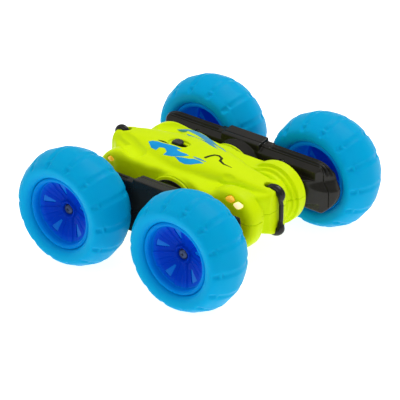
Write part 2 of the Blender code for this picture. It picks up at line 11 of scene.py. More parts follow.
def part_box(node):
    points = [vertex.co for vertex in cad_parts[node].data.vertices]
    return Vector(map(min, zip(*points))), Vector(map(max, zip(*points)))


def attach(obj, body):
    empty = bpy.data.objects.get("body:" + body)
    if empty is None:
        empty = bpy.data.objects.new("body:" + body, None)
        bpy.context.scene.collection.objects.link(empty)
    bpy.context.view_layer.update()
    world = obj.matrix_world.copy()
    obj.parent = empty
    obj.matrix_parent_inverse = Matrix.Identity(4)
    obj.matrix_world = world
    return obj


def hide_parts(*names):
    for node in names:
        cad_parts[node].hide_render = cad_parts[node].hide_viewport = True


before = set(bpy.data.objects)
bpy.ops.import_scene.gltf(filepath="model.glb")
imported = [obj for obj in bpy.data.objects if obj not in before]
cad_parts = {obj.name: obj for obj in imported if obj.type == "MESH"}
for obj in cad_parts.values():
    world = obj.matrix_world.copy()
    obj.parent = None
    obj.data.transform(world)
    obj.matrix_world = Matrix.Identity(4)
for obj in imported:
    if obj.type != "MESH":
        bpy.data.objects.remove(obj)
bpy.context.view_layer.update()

MM = 0.001

# ---- dimensions read from the frame, mm ------------------------------------------------------
WHEELS = {}
for sn in ("left", "right"):
    for en in ("front", "rear"):
        lo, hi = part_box(f"{sn}_{en}_tyre")
        WHEELS[sn, en] = ((lo + hi) / 2 / MM, (hi.y - lo.y) / 2 / MM)
AXLE_Z = 36.0
BODY_Z = 40.0


# ---- materials ---------------------------------------------------------------------------------
def lin(r, g, b):
    return tuple((v / 255 / 12.92) if v / 255 <= 0.04045 else ((v / 255 + 0.055) / 1.055) ** 2.4 for v in (r, g, b))


def nodes_of(name):
    m = bpy.data.materials.new(name)
    m.use_nodes = True
    nt = m.node_tree
    return m, nt, nt.nodes["Principled BSDF"]


def noise(nt, co, scale, detail=3.0, rough=0.5, distort=0.0):
    n = nt.nodes.new("ShaderNodeTexNoise")
    n.inputs["Scale"].default_value = scale
    n.inputs["Detail"].default_value = detail
    n.inputs["Roughness"].default_value = rough
    n.inputs["Distortion"].default_value = distort
    nt.links.new(co, n.inputs["Vector"])
    return n.outputs["Fac"]


def ramp(nt, fac, stops):
    r = nt.nodes.new("ShaderNodeValToRGB")
    els = r.color_ramp.elements
    while len(els) < len(stops):
        els.new(0.5)
    for e, (p, c) in zip(els, stops):
        e.position = p
        e.color = (*c, 1.0)
    nt.links.new(fac, r.inputs["Fac"])
    return r.outputs["Color"]


def span(nt, fac, a, b):
    r = nt.nodes.new("ShaderNodeMapRange")
    r.inputs["From Min"].default_value = 0.3
    r.inputs["From Max"].default_value = 0.7
    r.inputs["To Min"].default_value = a
    r.inputs["To Max"].default_value = b
    nt.links.new(fac, r.inputs["Value"])
    return r.outputs["Result"]


def plastic(name, dark, light, rough=(0.3, 0.4), coarse=60.0, fine=2600.0, bump=0.05, coat=0.0,
            coat_rough=0.1, spec=0.5, metallic=0.0, sss=0.0, sss_radius=(1, 1, 1), sss_scale=0.003, anis=0.0,
            transmission=0.0, emission=None, strength=0.0, ior=1.5, radial=None, through=0.0, painted_glow=0.0):
    """A moulded surface: a slow drift of colour, a finer drift of gloss and a fine moulded grain."""
    m, nt, b = nodes_of(name)
    co = nt.nodes.new("ShaderNodeTexCoord").outputs["Object"]
    slow = noise(nt, co, coarse, 4.0, 0.55, 0.4)
    colour = ramp(nt, slow, ((0.3, dark), (0.7, light)))
    if radial:
        # colours by distance from the wheel's axis, which stands at x = +-43.2 mm, z = 36 mm
        xyz = nt.nodes.new("ShaderNodeSeparateXYZ")
        nt.links.new(co, xyz.inputs[0])
        ab = nt.nodes.new("ShaderNodeMath")
        ab.operation = "ABSOLUTE"
        nt.links.new(xyz.outputs["X"], ab.inputs[0])
        at = nt.nodes.new("ShaderNodeCombineXYZ")
        for src, off, to in ((ab.outputs[0], 0.0432, "X"), (xyz.outputs["Z"], 0.036, "Z")):
            sub = nt.nodes.new("ShaderNodeMath")
            sub.operation = "SUBTRACT"
            sub.inputs[1].default_value = off
            nt.links.new(src, sub.inputs[0])
            nt.links.new(sub.outputs[0], at.inputs[to])
        ln = nt.nodes.new("ShaderNodeVectorMath")
        ln.operation = "LENGTH"
        nt.links.new(at.outputs[0], ln.inputs[0])
        sc = nt.nodes.new("ShaderNodeMath")
        sc.operation = "MULTIPLY"
        sc.inputs[1].default_value = 25.0
        nt.links.new(ln.outputs["Value"], sc.inputs[0])
        mix = nt.nodes.new("ShaderNodeMixRGB")
        nt.links.new(span(nt, slow, 0.0, 0.16), mix.inputs["Fac"])
        nt.links.new(ramp(nt, sc.outputs[0], tuple((mm / 40.0, c) for mm, c in radial)), mix.inputs["Color1"])
        mix.inputs["Color2"].default_value = (*light, 1.0)
        colour = mix.outputs["Color"]
    nt.links.new(colour, b.inputs["Base Color"])
    nt.links.new(span(nt, noise(nt, co, coarse * 4.3, 5.0, 0.6), *rough), b.inputs["Roughness"])
    bu = nt.nodes.new("ShaderNodeBump")
    bu.inputs["Strength"].default_value = bump
    bu.inputs["Distance"].default_value = 0.0001
    nt.links.new(noise(nt, co, fine, 3.0, 0.6), bu.inputs["Height"])
    nt.links.new(bu.outputs["Normal"], b.inputs["Normal"])
    if through:
        # part of the light passes through the thin moulded walls
        tr = nt.nodes.new("ShaderNodeBsdfTranslucent")
        nt.links.new(colour, tr.inputs["Color"])
        mx = nt.nodes.new("ShaderNodeMixShader")
        mx.inputs["Fac"].default_value = through
        nt.links.new(b.outputs[0], mx.inputs[1])
        nt.links.new(tr.outputs[0], mx.inputs[2])
        nt.links.new(mx.outputs[0], nt.nodes["Material Output"].inputs["Surface"])
    b.inputs["Metallic"].default_value = metallic
    b.inputs["Coat Weight"].default_value = coat
    b.inputs["Coat Roughness"].default_value = coat_rough
    b.inputs["Specular IOR Level"].default_value = spec
    b.inputs["Subsurface Weight"].default_value = sss
    b.inputs["Subsurface Radius"].default_value = sss_radius
    b.inputs["Subsurface Scale"].default_value = sss_scale
    b.inputs["Transmission Weight"].default_value = transmission
    b.inputs["IOR"].default_value = ior
    if painted_glow:
        # painted light: the colour is also emitted, so the part shines a little even in the shade and its shadows are
        # lifted, standing in for light carried inside the translucent plastic
        nt.links.new(colour, b.inputs["Emission Color"])
        b.inputs["Emission Strength"].default_value = painted_glow
    if emission:
        b.inputs["Emission Color"].default_value = (*emission, 1.0)
        b.inputs["Emission Strength"].default_value = strength
    return m


# the lime, tyre, rim and window-pane materials below emit their own colour: painted light that lifts their shaded sides
LIME = plastic("lime_abs", lin(200, 226, 0), lin(207, 232, 4), (0.34, 0.46), 45, 2400, 0.05, coat=0.01, coat_rough=0.25,
               spec=0.05, sss=0.08, sss_radius=(1.0, 1.0, 0.1), sss_scale=0.0012, painted_glow=0.04)
BLACK = plastic("black_abs", lin(16, 16, 16), lin(24, 23, 21), (0.28, 0.40), 80, 2000, 0.07, spec=0.42)
GLOSSY = plastic("black_gloss", lin(26, 25, 21), lin(34, 32, 28), (0.16, 0.26), 80, 2000, 0.04, spec=0.26)
TYRE = plastic("blue_tpr", lin(0, 150, 208), lin(0, 158, 214), (0.34, 0.46), 50, 1500, 0.06, spec=0.04, painted_glow=0.06, sss=0.3,
               sss_radius=(0.05, 0.6, 1.0), sss_scale=0.004, radial=((20.0, lin(0, 136, 208)), (22.6, lin(0, 142, 208)), (26.5, lin(0, 157, 207)), (36.0, lin(0, 157, 206))))
# the rim's radial colours grow lighter towards the rolled lip; that lightening is painted light that lifts the shade in
# the gap beside the tyre
RIM = plastic("blue_rim", lin(0, 50, 172), lin(0, 66, 198), (0.16, 0.28), 60, 1800, 0.04, coat=0.01, coat_rough=0.12,
              spec=0.03, sss=0.2, sss_radius=(0.02, 0.25, 1.0), sss_scale=0.003, through=0.25, painted_glow=0.21,
              radial=((3.0, lin(0, 48, 168)), (15.5, lin(0, 58, 186)), (18.2, lin(0, 84, 204)), (19.6, lin(0, 128, 214)), (22.4, lin(0, 148, 214))))
STEEL = plastic("steel", (0.42, 0.42, 0.43), (0.56, 0.56, 0.57), (0.22, 0.38), 300, 6000, 0.12, metallic=1.0)
# the window pane's material: painted light in place of the lit tyre seen through the rim's open windows
WINDOW_LIGHT_PANE = plastic("window_light_pane_blue", lin(0, 92, 190), lin(0, 106, 198), (0.2, 0.3), 60, 1800, 0.03, spec=0.1, painted_glow=0.16)
BLUED = plastic("blued_steel", (0.03, 0.045, 0.10), (0.055, 0.075, 0.15), (0.26, 0.4), 300, 6000, 0.12, metallic=1.0)
DARK_STEEL = plastic("dark_steel", (0.05, 0.05, 0.052), (0.07, 0.07, 0.072), (0.3, 0.42), 300, 6000, 0.12, metallic=1.0)
NYLON = plastic("nylon", lin(222, 220, 208), lin(236, 234, 224), (0.42, 0.55), 120, 3000, 0.05, sss=0.2, sss_scale=0.002)
BOARD = plastic("board", lin(12, 70, 34), lin(18, 88, 44), (0.35, 0.5), 260, 5000, 0.1, coat=0.2)
CELL = plastic("cell_wrap", lin(28, 66, 96), lin(36, 80, 112), (0.28, 0.4), 90, 2500, 0.05, coat=0.3)
LAMP = plastic("lamp_lens", lin(255, 214, 150), lin(255, 232, 190), (0.08, 0.14), 200, 3000, 0.03, coat=0.6,
               spec=0.6, emission=lin(255, 226, 170), strength=0.8)
AMBER = plastic("lamp_ring", lin(240, 180, 26), lin(248, 194, 38), (0.2, 0.3), 200, 3000, 0.04, coat=0.3, emission=lin(255, 186, 40), strength=0.4)
INK_BLUE = plastic("ink_blue", lin(8, 146, 214), lin(24, 158, 222), (0.3, 0.42), 160, 3000, 0.05, spec=0.1)
INK_PALE = plastic("ink_pale", lin(62, 140, 186), lin(84, 158, 186), (0.3, 0.42), 160, 3000, 0.05, spec=0.1)
INK_DARK = plastic("ink_dark", lin(34, 44, 8), lin(46, 56, 12), (0.3, 0.42), 160, 3000, 0.05, spec=0.1)


# ---- helpers -----------------------------------------------------------------------------------
def piece(name, verts, faces, mat, body, replaces=(), smooth=True, sharp=None, recalc=True, mats=None, face_mats=None):
    """A mesh from points in mm, riding on a CAD body."""
    me = bpy.data.meshes.new(name)
    me.from_pydata([tuple(v) for v in np.asarray(verts, float) * MM], [], [tuple(int(i) for i in f) for f in faces])
    me.validate()
    for m in (mats or [mat]):
        me.materials.append(m)
    if face_mats is not None:
        me.polygons.foreach_set("material_index", np.asarray(face_mats, np.int32))
    if recalc:
        bm = bmesh.new()
        bm.from_mesh(me)
        bmesh.ops.recalc_face_normals(bm, faces=bm.faces)
        bm.to_mesh(me)
        bm.free()
    if smooth:
        me.shade_smooth()
        if sharp:
            me.set_sharp_from_angle(angle=math.radians(sharp))
    o = bpy.data.objects.new(name, me)
    bpy.context.scene.collection.objects.link(o)
    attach(o, body)
    if replaces:
        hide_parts(*replaces)
    return o


def smin(a, b, k):
    h = np.clip(0.5 + 0.5 * (b - a) / k, 0, 1)
    return b * (1 - h) + a * h - k * h * (1 - h)


def smax(a, b, k):
    return -smin(-a, -b, k)


def step(a, b, t):
    u = np.clip((t - a) / (b - a), 0, 1)
    return u * u * (3 - 2 * u)


def nets(fn, lo, hi, h, newton=2):
    """The surface fn = 0, negative inside, as quads: naive surface nets on a grid of pitch h, then pulled onto the surface."""
    lo, hi = np.array(lo, float), np.array(hi, float)
    h = np.array(h if np.ndim(h) else (h,) * 3, float)
    n = np.ceil((hi - lo) / h).astype(int) + 1
    ax = [lo[i] + h[i] * np.arange(n[i]) for i in range(3)]
    X, Y, Z = np.meshgrid(*ax, indexing="ij")
    f = fn(X, Y, Z)
    ins = f < 0
    corner = [(i, j, k) for i in (0, 1) for j in (0, 1) for k in (0, 1)]
    s = np.zeros(tuple(n - 1), np.int8)
    for i, j, k in corner:
        s += ins[i:n[0] - 1 + i, j:n[1] - 1 + j, k:n[2] - 1 + k]
    cells = np.argwhere((s > 0) & (s < 8))
    index = np.full(s.shape, -1, np.int64)
    index[tuple(cells.T)] = np.arange(len(cells))
    acc = np.zeros((len(cells), 3))
    cnt = np.zeros(len(cells))
    val = {c: f[cells[:, 0] + c[0], cells[:, 1] + c[1], cells[:, 2] + c[2]] for c in corner}
    for a in corner:
        for d in range(3):
            if a[d]:
                continue
            b = list(a)
            b[d] = 1
            fa, fb = val[a], val[tuple(b)]
            cross = (fa < 0) != (fb < 0)
            t = fa[cross] / (fa[cross] - fb[cross])
            p = np.tile(np.array(a, float), (cross.sum(), 1))
            p[:, d] += t
            acc[cross] += p
            cnt[cross] += 1
    v = lo + (cells + acc / cnt[:, None]) * h
    for _ in range(newton):
        e = 0.05
        f0 = fn(v[:, 0], v[:, 1], v[:, 2])
        g = np.stack([(fn(*(v + e * np.eye(3)[d]).T) - fn(*(v - e * np.eye(3)[d]).T)) / (2 * e) for d in range(3)], 1)
        g2 = np.maximum((g * g).sum(1), 0.05)
        stp = -(f0 / g2)[:, None] * g
        ln = np.linalg.norm(stp, axis=1)
        stp *= np.minimum(1, 0.35 * h.min() / np.maximum(ln, 1e-9))[:, None]
        v = v + stp
    faces = []
    for d in range(3):
        sl0, sl1 = [slice(None)] * 3, [slice(None)] * 3
        sl0[d], sl1[d] = slice(0, -1), slice(1, None)
        a, b = ins[tuple(sl0)], ins[tuple(sl1)]
        at = np.argwhere(a != b)
        u, w = (d + 1) % 3, (d + 2) % 3
        ok = (at[:, u] > 0) & (at[:, w] > 0) & (at[:, u] < n[u] - 1) & (at[:, w] < n[w] - 1)
        at = at[ok]
        flip = b[tuple(at.T)]
        q = []
        for du, dw in ((0, 0), (1, 0), (1, 1), (0, 1)):
            c = at.copy()
            c[:, u] -= du
            c[:, w] -= dw
            q.append(index[tuple(c.T)])
        q = np.stack(q, 1)
        q[flip] = q[flip][:, ::-1]
        faces.append(q)
    return v, np.concatenate(faces)


def revolve(profile, seg, centre, s=1, closed=True, warp=None):
    """A profile of (radius, offset) swept round an axis along Y through centre. s is the outward side."""
    th = 2 * np.pi * np.arange(seg) / seg
    prof = np.array(profile, float)
    verts, n = [], len(prof)
    for a in th:
        r = prof[:, 0].copy()
        t = prof[:, 1].copy()
        if warp:
            r, t = warp(r, t, a)
        verts.append(np.stack([centre[0] + r * math.cos(a), centre[1] + s * t, centre[2] + r * math.sin(a)], 1))
    verts = np.concatenate(verts)
    faces = []
    for i in range(seg):
        j = (i + 1) % seg
        for k in range(n if closed else n - 1):
            l = (k + 1) % n
            faces.append((i * n + k, i * n + l, j * n + l, j * n + k))
    if s < 0:
        faces = [f[::-1] for f in faces]
    return verts, faces


def smooth_profile(pts, per=5, closed=False):
    """Catmull-Rom through the points."""
    p = np.array(pts, float)
    n = len(p)
    out = []
    for i in range(n if closed else n - 1):
        p0, p1, p2, p3 = (p[(i - 1) % n] if closed or i else p[0], p[i], p[(i + 1) % n], p[(i + 2) % n] if closed or i < n - 2 else p[-1])
        for k in range(per):
            t = k / per
            out.append(0.5 * ((2 * p1) + (-p0 + p2) * t + (2 * p0 - 5 * p1 + 4 * p2 - p3) * t * t + (-p0 + 3 * p1 - 3 * p2 + p3) * t ** 3))
    if not closed:
        out.append(p[-1])
    return np.array(out)


def tube(path, radii, around=16):
    """A round tube with rounded ends along points in the XZ plane at y = 0."""
    path, radii = np.array(path, float), np.array(radii, float)
    n = len(path)
    tan = np.gradient(path, axis=0)
    tan /= np.linalg.norm(tan, axis=1)[:, None]
    pts, rad, tt = [], [], []
    for k in (0.0, 0.35, 0.7, 0.93):
        a = math.pi / 2 * (1 - k)
        pts.append(path[0] - tan[0] * radii[0] * math.sin(a)); rad.append(radii[0] * max(math.cos(a), 0.02)); tt.append(tan[0])
    for i in range(n):
        pts.append(path[i]); rad.append(radii[i]); tt.append(tan[i])
    for k in (0.93, 0.7, 0.35, 0.0):
        a = math.pi / 2 * (1 - k)
        pts.append(path[-1] + tan[-1] * radii[-1] * math.sin(a)); rad.append(radii[-1] * max(math.cos(a), 0.02)); tt.append(tan[-1])
    verts, faces = [], []
    for p, r, t in zip(pts, rad, tt):
        nrm = np.array([t[1], -t[0]])
        for j in range(around):
            b = 2 * math.pi * j / around
            verts.append((p[0] + nrm[0] * r * math.cos(b), r * math.sin(b), p[1] + nrm[1] * r * math.cos(b)))
    m = len(pts)
    for i in range(m - 1):
        for j in range(around):
            k = (j + 1) % around
            faces.append((i * around + j, i * around + k, (i + 1) * around + k, (i + 1) * around + j))
    faces.append(tuple(range(around))[::-1])
    faces.append(tuple((m - 1) * around + j for j in range(around)))
    return np.array(verts), faces


# ---- wheels --------------------------------------------------------------------------------------
LUGS = 14


def tyre(sn, en):
    (cx, cy, cz), half = WHEELS[sn, en]
    s = 1 if sn == "left" else -1
    outer = [(22.5, -12.2), (23.2, -14.2), (25.2, -15.6), (28.2, -16.15), (30.2, -15.55), (31.7, -13.9), (33.1, -11.3),
             (34.5, -8.0), (35.55, -4.2), (36.05, 0.0)]
    outer = outer + [(r, -t) for r, t in outer[-2::-1]]
    prof = smooth_profile(outer, 4)
    inner = [(24.6, 12.0), (28.5, 11.4), (32.0, 8.8), (32.6, 4.0), (32.6, -4.0), (32.0, -8.8), (28.5, -11.4), (24.6, -12.0)]
    prof = np.concatenate([prof, np.array(inner)])
    pitch = 2 * math.pi / LUGS

    def warp(r, t, a):
        d = (a + math.pi / 2 + pitch / 2) % pitch - pitch / 2
        ad = abs(d)
        # each lug is a flat chord that falls into a shallow channel before the next one
        chord = 1.0 / math.cos(min(ad, math.radians(9.2)))
        gap = float(step(math.radians(8.6), math.radians(12.4), ad))
        side = step(5.0, 13.5, np.abs(t)) * (1 - 0.75 * step(14.6, 16.2, np.abs(t)))
        depth = (0.42 + 0.80 * side) * gap
        out = step(28.0, 32.0, r) * (r < 36.5)
        hit = out * ((np.abs(t) > 12.5) | (r > 33.2))
        k = 1 + (chord - 1) * step(31.0, 35.5, r)
        rr = np.where(hit > 0, r * k - depth * hit, r)
        rr = np.where((r < 33.0) & (np.abs(t) < 12.2), r, rr)
        # a raised line where the sidewall meets the tread
        tt = t - np.sign(t) * 0.30 * gap * step(29.0, 31.5, r) * (np.abs(t) > 12.5)
        return rr, tt
    v, f = revolve(prof[::-1], LUGS * 22, (cx, cy, cz), s, True, warp)
    # faces of a closed ring round the axis
    return piece(f"{sn}_{en}_tyre_skin", v, f, TYRE, f"{sn}_{en}_wheel", (f"{sn}_{en}_tyre",), sharp=None)


def rim(sn, en):
    (cx, cy, cz), _ = WHEELS[sn, en]
    s = 1 if sn == "left" else -1
    w = s
    # front surface of the dished disc on a polar grid, with five open windows
    nr, na = 44, 360
    rad = np.linspace(2.35, 19.9, nr)
    ang = 2 * np.pi * np.arange(na) / na
    R, Aa = np.meshgrid(rad, ang, indexing="ij")
    near = (Aa - math.radians(59) + math.pi / 5) % (2 * math.pi / 5) - math.pi / 5     # from the middle of a spoke
    across = R * np.sin(np.abs(near))
    half_w = 2.6 + 2.3 * step(5, 18, R)
    cone = 4.1 + 5.1 * step(3.0, 20.5, R)
    front = cone + 0.55 * step(0.2, -0.9, across - half_w)                         # spoke stands proud
    front = front + 0.30 * np.exp(-((across - half_w + 0.7) / 0.42) ** 2) * step(4.5, 7.5, R)   # ribbed edges
    front = front - 0.25 * np.exp(-(across / 0.55) ** 2) * step(6.5, 9.0, R)      # groove along the middle
    front = front + 1.5 * step(5.9, 5.2, R) * step(3.7, 4.1, R)                    # collar round the screw
    back = cone - 2.0 - 1.2 * step(9, 4, R)
    gapa = R * (math.pi / 5 - np.abs(near))                                       # from the middle of a gap
    hole = (gapa < 0.28 * (R - 7.2)) & (R > 9.6) & (R < 17.4)
    hole = hole[:-1] & hole[1:]
    cell_hole = hole & np.roll(hole, -1, axis=1)
    verts = np.concatenate([np.stack([cx + R * np.cos(Aa * 1.0), cy + w * T, cz + R * np.sin(Aa)], -1).reshape(-1, 3) for T in (front, back)])
    off = nr * na
    faces = []

    def ix(i, j):
        return i * na + (j % na)
    for i in range(nr - 1):
        for j in range(na):
            if cell_hole[i, j]:
                continue
            a, b, c, d = ix(i, j), ix(i + 1, j), ix(i + 1, j + 1), ix(i, j + 1)
            faces.append((a, b, c, d))
            faces.append((off + d, off + c, off + b, off + a))
            if i == 0 or cell_hole[i - 1, j]:
                faces.append((a, d, off + d, off + a))
            if i == nr - 2 or cell_hole[i + 1, j]:
                faces.append((c, b, off + b, off + c))
            if cell_hole[i, (j - 1) % na]:
                faces.append((b, a, off + a, off + b))
            if cell_hole[i, (j + 1) % na]:
                faces.append((d, c, off + c, off + d))
    # barrel with a rolled lip outside, a bead seat, and a stepped inner edge
    bar = [(19.3, 10.5), (19.4, 12.0), (20.1, 12.9), (21.2, 13.3), (22.1, 12.9), (22.35, 12.1), (22.1, 11.2), (21.9, 8.0), (21.9, -8.0), (22.1, -11.2),
           (22.35, -12.1), (22.0, -12.9), (21.0, -13.2), (20.0, -12.8), (19.5, -11.8), (19.4, -9.0), (18.9, -8.4), (18.9, 4.0), (19.2, 6.0)]
    v2, f2 = revolve(bar[::-1], 120, (cx, cy, cz), w)
    # hub tube behind the disc
    hub = [(2.35, 3.4), (4.9, 3.4), (5.0, -12.6), (4.6, -13.4), (2.9, -13.4), (2.35, -12.8)]
    v3, f3 = revolve(hub[::-1], 48, (cx, cy, cz), w)
    # a blue pane that closes the windows, held inside the thickness of the disc: painted light, its lit colour standing
    # in for the bright tyre seen through the open gaps between the spokes
    pr, pa = np.meshgrid(np.linspace(8.6, 18.2, 12), 2 * np.pi * np.arange(96) / 96, indexing="ij")
    pc = 4.1 + 5.1 * step(3.0, 20.5, pr)
    pv = np.concatenate([np.stack([cx + pr * np.cos(pa), cy + w * (pc - dt), cz + pr * np.sin(pa)], -1).reshape(-1, 3) for dt in (0.55, 1.35)])
    po, pf = 12 * 96, []
    for i in range(11):
        for j in range(96):
            a, b, c, d = i * 96 + j, (i + 1) * 96 + j, (i + 1) * 96 + (j + 1) % 96, i * 96 + (j + 1) % 96
            pf += [(a, b, c, d), (po + d, po + c, po + b, po + a)]
            if i == 0:
                pf.append((a, d, po + d, po + a))
            if i == 10:
                pf.append((c, b, po + b, po + c))
    piece(f"{sn}_{en}_rim_window_light_pane", pv, pf, WINDOW_LIGHT_PANE, f"{sn}_{en}_wheel", (), sharp=50)
    n1, n2 = len(verts), len(v2)
    faces = faces + [tuple(i + n1 for i in f) for f in f2] + [tuple(i + n1 + n2 for i in f) for f in f3]
    return piece(f"{sn}_{en}_rim_spoked", np.concatenate([verts, v2, v3]), faces, RIM, f"{sn}_{en}_wheel", (f"{sn}_{en}_rim",), sharp=50)


def cross_screw(name, centre, axis, r, height, shank_r, length, body, replaces, mat=None):
    """A domed screw head with a cross recess, its face towards axis (a unit vector), standing on a shank."""
    bm = bmesh.new()
    n = 32
    prof = [(0.0, height), (r * 0.55, height * 0.97), (r * 0.85, height * 0.8), (r * 0.98, height * 0.5), (r, height * 0.25), (r, 0.0), (shank_r, 0.0),
            (shank_r, -length + 0.6), (shank_r * 0.4, -length), (0.0, -length)]
    rings = []
    for rr, zz in prof:
        if rr == 0:
            rings.append([bm.verts.new((0, 0, zz))])
        else:
            rings.append([bm.verts.new((rr * math.cos(2 * math.pi * i / n), rr * math.sin(2 * math.pi * i / n), zz)) for i in range(n)])
    for a, b in zip(rings, rings[1:]):
        for i in range(n):
            j = (i + 1) % n
            q = [a[i % len(a)], a[j % len(a)], b[j % len(b)], b[i % len(b)]]
            q = list(dict.fromkeys(q))
            bm.faces.new(q)
    bmesh.ops.recalc_face_normals(bm, faces=bm.faces)
    rot = Vector((0, 0, 1)).rotation_difference(Vector(axis)).to_matrix().to_4x4()
    me = bpy.data.meshes.new(name)
    bm.to_mesh(me)
    bm.free()
    o = bpy.data.objects.new(name, me)
    bpy.context.scene.collection.objects.link(o)
    for i in range(2):
        c = bmesh.new()
        bmesh.ops.create_cube(c, size=1.0)
        for v in c.verts:
            k = 0.5 if v.co.z < 0 else 1.0
            v.co = Vector((v.co.x * (r * 1.25) * (0.45 if v.co.z < 0 else 1.0), v.co.y * r * 0.2 * k, height * 1.25 + v.co.z * height * 1.7))
        if i:
            bmesh.ops.rotate(c, verts=c.verts, matrix=Matrix.Rotation(math.pi / 2, 3, "Z"))
        cm = bpy.data.meshes.new("cut")
        c.to_mesh(cm)
        c.free()
        co = bpy.data.objects.new("cut", cm)
        bpy.context.scene.collection.objects.link(co)
        mod = o.modifiers.new("cross", "BOOLEAN")
        mod.operation = "DIFFERENCE"
        mod.solver = "EXACT"
        mod.object = co
        bpy.context.view_layer.update()
        new = bpy.data.meshes.new_from_object(o.evaluated_get(bpy.context.evaluated_depsgraph_get()))
        o.modifiers.clear()
        o.data = new
        bpy.data.objects.remove(co)
    v = np.array([rot @ x.co + Vector(centre) for x in o.data.vertices])
    f = [tuple(p.vertices) for p in o.data.polygons]
    bpy.data.objects.remove(o)
    return piece(name, v, f, mat or STEEL, body, replaces, sharp=40)


for sn, en in WHEELS:
    tyre(sn, en)
    rim(sn, en)
    (cx, cy, cz), _ = WHEELS[sn, en]
    s = 1 if sn == "left" else -1
    cross_screw(f"{sn}_{en}_wheel_screw_head", (cx, cy + s * 4.15, cz), (0, s, 0), 3.2, 1.75, 0.65, 10.0, f"{sn}_{en}_wheel", (f"{sn}_{en}_wheel_screw",), BLUED)


# ---- body shells -----------------------------------------------------------------------------------
XS = np.array([-70, -62.6, -56, -49, -41, -28, -17, -5, 6, 18, 27, 36, 45, 52, 57.2, 64.0])
HOOD_W = np.array([7.4, 8.0, 10.0, 12.4, 15.8, 20.2, 22.0, 22.2, 20.4, 16.0, 12.2, 10.0, 8.8, 8.0, 7.2, 7.0])
HOOD_H = np.array([15.4, 16.0, 17.7, 18.7, 19.3, 20.2, 20.7, 20.4, 19.8, 18.6, 17.3, 16.0, 14.8, 13.8, 12.8, 12.4])
BLOCK_W = np.array([7.2, 7.6, 13.4, 16.4, 18.0, 19.0, 19.0, 19.0, 19.0, 18.5, 18.0, 17.0, 15.8, 13.4, 7.6, 7.2])
BLOCK_H = np.array([13.4, 13.6, 13.4, 13.0, 12.6, 12.5, 12.5, 12.5, 12.5, 11.6, 10.8, 10.6, 11.2, 11.8, 12.2, 12.0])
BAND_X = np.array([-60, -50, -40, -30, -22, -15, -8, 8, 15, 20, 28, 35, 42, 50, 60.0])
BAND_T = np.array([12.0, 13.4, 15.6, 16.2, 16.0, 15.4, 14.6, 13.9, 13.0, 12.1, 12.3, 13.4, 13.8, 12.5, 11.0])
FINE = np.linspace(-70, 64, 537)


def fine(vals, blur=5, at=XS):
    v = np.interp(FINE, at, vals)
    k = np.ones(blur * 2 + 1) / (blur * 2 + 1)
    for _ in range(3):
        v = np.convolve(np.pad(v, blur, mode="edge"), k, "valid")
    return v


HOOD_W_F, HOOD_H_F, BLOCK_W_F, BLOCK_H_F = fine(HOOD_W), fine(HOOD_H), fine(BLOCK_W, 2), fine(BLOCK_H)
BAND_F = fine(BAND_T, 6, BAND_X)
HOOD_N_F = fine(np.array([4.0, 4.0, 3.6, 3.4, 3.1, 3.0, 3.0, 3.0, 3.1, 3.6, 4.4, 4.8, 4.8, 4.6, 4.4, 4.4]))


def oval(u, v, w, h, n):
    """Distance to a superellipse, negative inside."""
    a, b = np.maximum(u / w, 1e-6), np.maximum(v / h, 1e-6)
    g = (a ** n + b ** n) ** (1 / n)
    g = np.maximum(g, 0.05)
    gx = (a / g) ** (n - 1) / w
    gy = (b / g) ** (n - 1) / h
    return (g - 1) / np.maximum(np.hypot(gx, gy), 1e-4)


def slab(d, lo, hi):
    return np.maximum(lo - d, d - hi)


def capsule_cut(x, ay, z, a, b, r):
    """Distance to a tapered capsule between points a and b with radii r[0], r[1]."""
    a, b = np.array(a, float), np.array(b, float)
    d = b - a
    t = np.clip(((x - a[0]) * d[0] + (ay - a[1]) * d[1] + (z - a[2]) * d[2]) / (d @ d), 0, 1)
    q = np.sqrt((x - a[0] - t * d[0]) ** 2 + (ay - a[1] - t * d[1]) ** 2 + (z - a[2] - t * d[2]) ** 2)
    return q - (r[0] + (r[1] - r[0]) * t)


